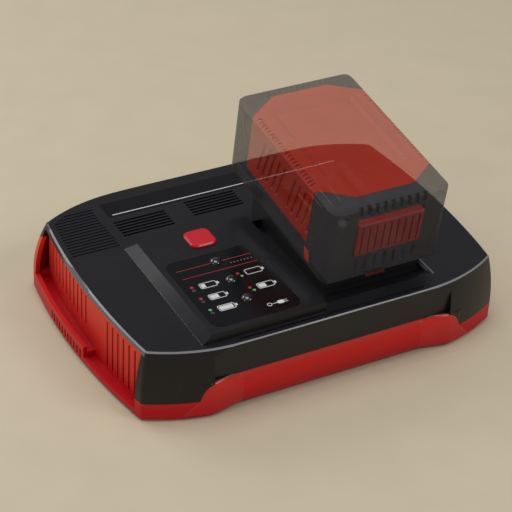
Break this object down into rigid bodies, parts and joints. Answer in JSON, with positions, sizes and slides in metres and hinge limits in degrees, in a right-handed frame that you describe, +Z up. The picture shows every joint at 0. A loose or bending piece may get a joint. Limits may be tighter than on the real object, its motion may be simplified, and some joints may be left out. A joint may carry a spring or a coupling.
{
  "type": "power tool battery charger",
  "caption": "Barrel-shaped bench charger in black over red with end air vents, a raised display console, a select button and a slide-on battery pack seated in its dock.",
  "frame": {"origin": "on the table under the middle of the charger", "axes": "+X along the charger towards the dock's side, +Y from the front to the rear, +Z up"},
  "size_m": [0.2494, 0.1706, 0.1188],
  "materials": {
    "black_shell": "satin moulded plastic",
    "red_shell": "satin moulded plastic",
    "dock_black": "fine matt plastic",
    "blade_metal": "plated contact",
    "label_gloss": "glossy printed film",
    "lens_dark": "smoked lens",
    "inner_black": "plain",
    "board_green": "coated board",
    "foot_rubber": "plain",
    "screw_steel": "zinc plated",
    "ferrite": "ground ferrite",
    "coil_copper": "enamelled copper wire",
    "sink_aluminium": "plain extrusion",
    "gland_rubber": "moulded",
    "pack_red": null,
    "pack_dark": null,
    "cell_sleeve": "shrunk sleeve",
    "nickel": "nickel strip",
    "button_red": "satin gloss",
    "release_red": "ribbed"
  },
  "bodies": {
    "charger": {"upper_shell": "black_shell", "lower_shell": "red_shell", "dock_plate": "dock_black", "terminal_block": "dock_black", "contact_blades": "blade_metal", "display_label": "label_gloss", "light_lenses": "lens_dark", "nameplate_strip": "label_gloss", "select_switch": "inner_black", "light_board": "board_green", "rubber_feet": "foot_rubber", "housing_screws": "screw_steel", "main_board": "board_green", "transformer_core": "ferrite", "transformer_coil": "coil_copper", "heat_sink": "sink_aluminium", "capacitors": "inner_black", "filter_choke": "coil_copper", "cable_gland": "gland_rubber"},
    "battery_pack": {"pack_cover": "pack_red", "pack_base": "pack_dark", "front_bumper": "pack_dark", "rear_bumper": "pack_dark", "cells": "cell_sleeve", "cell_carrier": "inner_black", "cell_links": "nickel", "pack_terminals": "blade_metal", "pack_board": "board_green", "side_labels": "label_gloss", "pack_screws": "screw_steel", "latch_spring": "screw_steel"},
    "release_latch": {"release_button": "release_red"},
    "select_key": {"select_button": "button_red"}
  },
  "joints": [
    {"name": "pack_slide", "type": "slide", "parent": "charger", "child": "battery_pack", "axis": [0, -0.9936, -0.1132], "range_m": [0, 0.062]},
    {"name": "release_press", "type": "slide", "parent": "battery_pack", "child": "release_latch", "axis": [0, -0.1132, 0.9936], "range_m": [0, 0.0035], "stiffness_N_per_m": 900, "springref_m": -0.002},
    {"name": "select_press", "type": "slide", "parent": "charger", "child": "select_key", "axis": [0, 0, -1], "range_m": [0, 0.0012], "stiffness_N_per_m": 1500, "springref_m": -0.0005}
  ]
}
